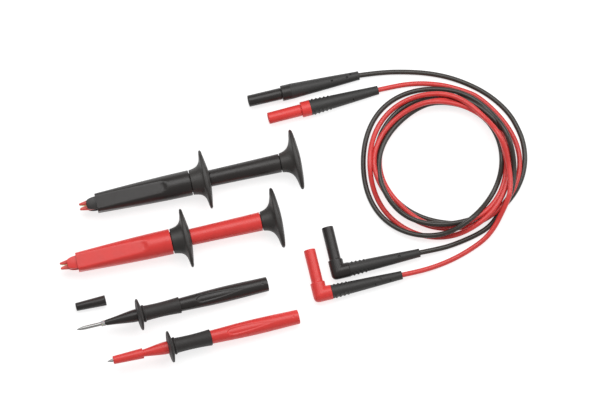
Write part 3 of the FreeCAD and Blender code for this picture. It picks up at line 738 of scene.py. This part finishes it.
def add_clip(colour):
    matrix = tool_matrix(colour + "_clip_socket", CLIP_TO_SOCKET)
    shell = SHELL[colour]
    name = colour + "_clip_"
    look = colour + "_shell"
    plunger = name + "plunger"

    def part(bm, what, body, material, slot):
        put(bm, name + what + "_piece", matrix, body, material, slot, name + what)

    part(clip_barrel(), "barrel", "root", shell, look)
    part(clip_nose(), "nose_guide", "root", shell, look)
    part(finger_flange(), "finger_flange", "root", FLANGE, "flange_shell")
    part(plunger_tube(), "plunger_tube", plunger, shell, look)
    part(thumb_flange(), "thumb_flange", plunger, FLANGE, "flange_shell")
    for hand, side in (("left", 1), ("right", -1)):
        part(jaw(side), "jaw_" + hand, name + "jaw_" + hand, JAW, "jaw_shell")


# ---------------------------------------------------------------- needle probes
PROBE_TO_SOCKET = 140.7
PROBE_LENGTH = 153.0
SCOOP_START = 95.7
SCOOP_LENGTH = 41.0
SCOOP_DEPTH = 0.95
SCOOP_HALF_WIDTH = 3.3
CAP_TO_BORE = 10.0         # from a cap's front end to its bore's mount
CAP_ON_PROBE = 4.7         # from the probe's point to the front end of its cap


def tip_rod():
    outline = [(0, 0), (0.12, 0.14)]
    outline += flowing([(0.5, 0.3), (2.6, 1.0), (5.2, 1.42), (7.0, 1.5)], 4)
    outline += [(19.65, 1.5), (19.68, 1.3), (60.0, 1.3), (60.0, 0)]
    return lathe(divided(outline, 3.0), 48)


def ferrule():
    outline = [
        (19.7, 1.33), (19.7, 1.95), (19.95, 2.2), (21.0, 2.2), (21.1, 2.08), (21.4, 2.08),
        (21.5, 2.2), (23.88, 2.2), (23.88, 1.33),
    ]
    return lathe(outline, 64, closed=True)


def probe_nose():
    outline = [(23.9, 1.33), (23.9, 2.1), (24.1, 2.3)]
    outline += flowing(
        [(24.6, 2.35), (30.0, 2.95), (36.0, 3.75), (42.0, 4.55), (46.0, 4.95), (48.35, 5.0)], 5
    )
    outline += [(48.35, 3.4), (50.5, 3.4), (50.5, 1.33)]
    bm = lathe(outline, 96, closed=True)
    # A lip reaches forward over the top of the ferrule.
    for vert in bm.verts:
        over = smooth_step(vert.co.z, 0.6, 2.0) * (1 - smooth_step(vert.co.x, 23.9, 27.0))
        if vert.co.x < 26.0 and vert.co.yz.length > 1.6:
            vert.co.x -= 1.5 * over
            vert.co.z += 0.12 * over
    return bm


def guard_grip():
    """Finger guard, its bead, and the waisted grip behind it in one soft moulding."""
    outline = [(48.37, 3.42), (48.37, 5.0)]
    outline += flowing(
        [(48.4, 5.3), (48.6, 7.2), (49.1, 10.2), (49.5, 11.8), (49.95, 12.4)], 4
    )
    outline += [(50.4, 12.5), (50.85, 12.38)]
    outline += flowing([(51.15, 12.0), (51.6, 10.2), (52.1, 7.8), (52.5, 6.7), (52.9, 6.35)], 4)
    outline += flowing([(53.2, 6.7), (53.75, 6.95), (54.4, 6.7), (54.7, 6.1)], 3)
    outline += flowing(
        [(55.4, 6.0), (60.0, 5.8), (67.0, 5.72), (74.0, 5.9), (80.0, 6.25), (82.2, 6.42)], 5
    )
    outline += [(82.55, 6.35), (82.7, 6.1), (82.7, 4.72), (52.7, 4.72), (52.7, 1.33)]
    outline += [(50.52, 1.33), (50.52, 3.42)]
    return lathe(outline, 112, closed=True)


def scoop_cut(x, y):
    """Depth of the boat-shaped scoop: round and steep in front, fading to a point."""
    share = (x - SCOOP_START) / SCOOP_LENGTH
    if not 0 < share < 1:
        return 0.0
    nose = math.sqrt(max(0.0, 1 - (1 - min(share / 0.13, 1)) ** 2))
    width = SCOOP_HALF_WIDTH * nose * (1 - max(0.0, (share - 0.13) / 0.87) ** 2.6)
    return SCOOP_DEPTH * (1 - share) * smooth_step(width - abs(y), 0, 0.9 + share)


def probe_barrel():
    outline = [(52.72, 4.7), (82.8, 4.7), (82.8, 5.05), (83.0, 5.25)]
    body = flowing(
        [(84.0, 5.3), (95.0, 5.68), (108.0, 6.08), (118.0, 6.2), (132.0, 6.08),
         (145.0, 5.78), (152.3, 5.66)], 5,
    )
    outline += divided(body, 0.45)
    outline += [(152.75, 5.55), (153.0, 5.25), (153.0, 4.95)] + recess_outline(PROBE_LENGTH)
    outline += [(60.0, 2.6), (60.0, 1.33), (52.72, 1.33)]
    bm = lathe(outline, 144, closed=True)

    def scooped(x, radius, angle):
        if radius > 5.2 and math.sin(angle) > 0:
            radius -= scoop_cut(x, radius * math.cos(angle))
            radius -= dimple(x, radius, angle, 148.6, 0.0, 0.9, 0.25)
        return ringed(x, radius, angle)

    move_points(bm, scooped)
    return bm


def tip_cap():
    outline = [
        (0.0, 1.56), (0.0, 2.75), (0.15, 3.05), (0.5, 3.2), (23.0, 4.08), (23.1, 4.1),
        (23.55, 4.1), (23.7, 3.95), (23.7, 2.95), (18.7, 2.9), (18.7, 2.26), (4.5, 2.26),
        (4.5, 1.56),
    ]
    bm = lathe(divided(outline, 1.2), 112, closed=True)

    def notched(x, radius, angle):
        """A small notch at the lower side of the mouth."""
        across = radius * math.cos(angle) + 3.4
        depth = 0.55 * (1 - smooth_step(math.hypot((x - 22.2) / 1.3, across / 0.7), 0.5, 1.0))
        if radius < 3.0:
            depth = 0
        return ringed(x, radius - depth, angle)

    move_points(bm, notched)
    return bm


def add_probe(colour):
    matrix = tool_matrix(colour + "_probe_socket", PROBE_TO_SOCKET)
    shell = SHELL[colour]
    look = colour + "_shell"

    def part(bm, what, material, slot):
        name = colour + "_probe_" + what
        put(bm, name + "_piece", matrix, "root", material, slot, name)

    part(tip_rod(), "tip_rod", STEEL, "tip_steel")
    part(ferrule(), "ferrule", FERRULE, "ferrule")
    part(probe_nose(), "nose", shell, look)
    part(guard_grip(), "guard_grip", GRIP, "grip_rubber")
    part(probe_barrel(), "barrel", shell, look)


def add_caps():
    red = tool_matrix("red_probe_socket", PROBE_TO_SOCKET) @ Matrix.Translation(
        (CAP_ON_PROBE, 0, 0)
    )
    put(tip_cap(), "red_cap_piece", red, "red_cap", SHELL["red"], "red_shell", "red_cap")
    loose = tool_matrix("loose_cap_bore", CAP_TO_BORE)
    put(tip_cap(), "black_cap_piece", loose, "root", SHELL["black"], "black_shell", "black_cap")


# ---------------------------------------------------------------- plugs of the leads
PLUG_TO_PIN = 12.0
PLUG_LENGTH = 89.0
PLUG_BOOT_START = 33.9
SHROUD_RADIUS = 4.55
SHROUD_BORE = 3.4
SHROUD_BORE_DEPTH = 23.7
SHROUD_LENGTH = 26.7
COLLAR_RADIUS = 6.1
ELBOW_TO_PIN = 24.2
ELBOW_TO_BOOT = 9.2
ELBOW_BOOT_LENGTH = 56.2
ELBOW_RADIUS = 5.75
ELBOW_TO_SHROUD = 9.6
ELBOW_SHROUD_MOUTH = 36.2
CORNER = 9.0               # length of the outline that goes round the corner
CORNER_POWER = 3.2         # 2 for a round corner, more for a squarer one
RIB_PITCH = 3.2
RIB_HEIGHT = 0.7


def shroud_and_collar():
    outline = softened([
        (SHROUD_BORE_DEPTH, 2.42), (SHROUD_BORE_DEPTH, SHROUD_BORE), (0, SHROUD_BORE),
        (0, SHROUD_RADIUS), (SHROUD_LENGTH - 0.7, SHROUD_RADIUS + 0.1),
        (SHROUD_LENGTH - 0.6, 4.25), (SHROUD_LENGTH, 4.25), (SHROUD_LENGTH, COLLAR_RADIUS),
        (PLUG_BOOT_START - 0.02, COLLAR_RADIUS),
    ], 0.55)
    outline += [(PLUG_BOOT_START - 0.02, 3.3), (44.9, 3.3), (44.9, 2.42)]
    return lathe(divided(outline, 2.5), 112, closed=True)


def boot(start, end, front_radius, rear_radius, spigot, ribs, dimples):
    """Strain relief: tapered, with ribs on its two sides and small dimples on top."""
    outline = [(start, spigot), (start, front_radius - 0.06), (start + 0.1, front_radius)]
    outline += flowing([
        (start + 0.8, front_radius + 0.02),
        (start + 0.25 * (end - start), front_radius * 0.76 + rear_radius * 0.24),
        (start + 0.6 * (end - start), front_radius * 0.41 + rear_radius * 0.59),
        (end - 2.4, rear_radius + 0.02),
    ], 6)
    outline += softened([
        (end - 2.2, rear_radius), (end - 2.0, rear_radius + 0.05), (end, rear_radius), (end, 2.0),
    ], 0.45)
    outline += [(end - 3.0, 1.95), (start + 11.1, 1.95), (start + 11.1, spigot)]
    bm = lathe(divided(outline, 0.32), 136, closed=True)
    last = ribs * RIB_PITCH

    def shaped(x, radius, angle):
        if radius < 2.6 or radius <= spigot + 0.05:
            return ringed(x, radius, angle)    # the bore and the spigot stay round
        along = x - start - 1.2
        if 0 < along < last:
            wave = 0.5 - 0.5 * math.cos(math.tau * along / RIB_PITCH)
            side = smooth_step(abs(math.cos(angle)), 0.55, 0.85)
            radius += RIB_HEIGHT * (wave ** 1.3 - 0.4) * side
        for place, across, size, depth in dimples:
            radius -= dimple(x, radius, angle, place, across, size, depth)
        return ringed(x, radius, angle)

    move_points(bm, shaped)
    return bm


STRAIGHT_DIMPLES = {
    "black": [(67.0, 0.0, 0.85, 1.3), (79.2, 0.0, 0.85, 1.2), (82.4, 2.0, 0.85, 1.2)],
    "red": [(68.0, -3.2, 0.8, 1.1)],
}
ELBOW_DIMPLES = {
    "black": [(48.9, 0.4, 1.1, 0.9)],
    "red": [(47.9, 0.4, 1.1, 0.5), (43.4, -2.9, 0.8, 0.9), (55.4, -2.5, 0.8, 0.9)],
}


def add_straight_plug(colour):
    matrix = tool_matrix(colour + "_plug_pin", PLUG_TO_PIN, True)
    name = colour + "_plug_"
    look = colour + "_shell"
    put(
        shroud_and_collar(), name + "shroud_piece", matrix, "root", SHELL[colour], look,
        name + "shroud",
    )
    sleeve = boot(
        PLUG_BOOT_START, PLUG_LENGTH, COLLAR_RADIUS, 3.5, 3.32, 0 if colour == "black" else 5,
        STRAIGHT_DIMPLES[colour],
    )
    put(sleeve, name + "boot_piece", matrix, "root", BOOT, "boot_rubber", name + "boot")


def elbow_housing():
    """Turned along a straight line, then carried round the corner into the other arm."""
    shroud = -CORNER - ELBOW_TO_SHROUD
    mouth = -CORNER - ELBOW_SHROUD_MOUTH
    outline = softened([
        (ELBOW_TO_BOOT - 0.02, 0), (ELBOW_TO_BOOT - 0.02, 5.45), (ELBOW_TO_BOOT - 0.4, 5.75),
        (0, ELBOW_RADIUS), (-CORNER, ELBOW_RADIUS), (shroud, ELBOW_RADIUS),
        (shroud, 4.75), (shroud - 0.8, SHROUD_RADIUS), (mouth, SHROUD_RADIUS),
        (mouth, SHROUD_BORE), (mouth + SHROUD_BORE_DEPTH, SHROUD_BORE),
        (mouth + SHROUD_BORE_DEPTH, 0),
    ], 0.5)
    bm = lathe(divided(outline, 0.7), 96)
    # Ahead of the corner x becomes the boot's arm and behind it the shroud's; between the
    # two the sections fan out, with the outer side squarer than an arc.
    for vert in bm.verts:
        u, y, z = vert.co
        if u >= 0:
            vert.co = (max(u, y), y, z)
        elif u > -CORNER:
            turn = -u / CORNER * math.pi / 2
            s, c = math.sin(turn), math.cos(turn)
            out = y * (s ** CORNER_POWER + c ** CORNER_POWER) ** (-1 / CORNER_POWER)
            vert.co = (out * s, out * c, z) if y < 0 else (y, y, z)
        else:
            vert.co = (y, max(-CORNER - u, y), z)
    bmesh.ops.remove_doubles(bm, verts=bm.verts, dist=0.004)
    bmesh.ops.recalc_face_normals(bm, faces=bm.faces)
    return bm


def add_elbow_plug(colour):
    matrix = elbow_matrix(colour + "_elbow_pin", ELBOW_TO_PIN)
    name = colour + "_elbow_"
    look = colour + "_shell"
    put(
        elbow_housing(), name + "housing_piece", matrix, "root", SHELL[colour], look,
        name + "housing",
    )
    end = ELBOW_TO_BOOT + ELBOW_BOOT_LENGTH
    sleeve = boot(ELBOW_TO_BOOT, end, 5.4, 3.35, 2.82, 4, ELBOW_DIMPLES[colour])
    put(sleeve, name + "boot_piece", matrix, "root", BOOT, "boot_rubber", name + "boot")


# ---------------------------------------------------------------- metal pieces kept as they are
INNER_METAL = {
    "_pull_rod": (BRASS, "brass"),
    "_contact_left": (BRASS, "brass"),
    "_contact_right": (BRASS, "brass"),
    "_return_spring": (SPRING, "spring_steel"),
    "_inner_wire": (BRASS, "brass"),
    "_socket": (BRASS, "brass"),
    "_pin": (NICKEL, "nickel"),
}


def dress_inner_metal():
    for name, node in frame["nodes"].items():
        for ending, (material, slot) in INNER_METAL.items():
            if name.endswith(ending):
                node.data.materials.clear()
                node.data.materials.append(material)


add_camera()
add_studio()
for colour in ("black", "red"):
    add_clip(colour)
    add_probe(colour)
    add_straight_plug(colour)
    add_elbow_plug(colour)
add_caps()
dress_inner_metal()
cables = add_cables()
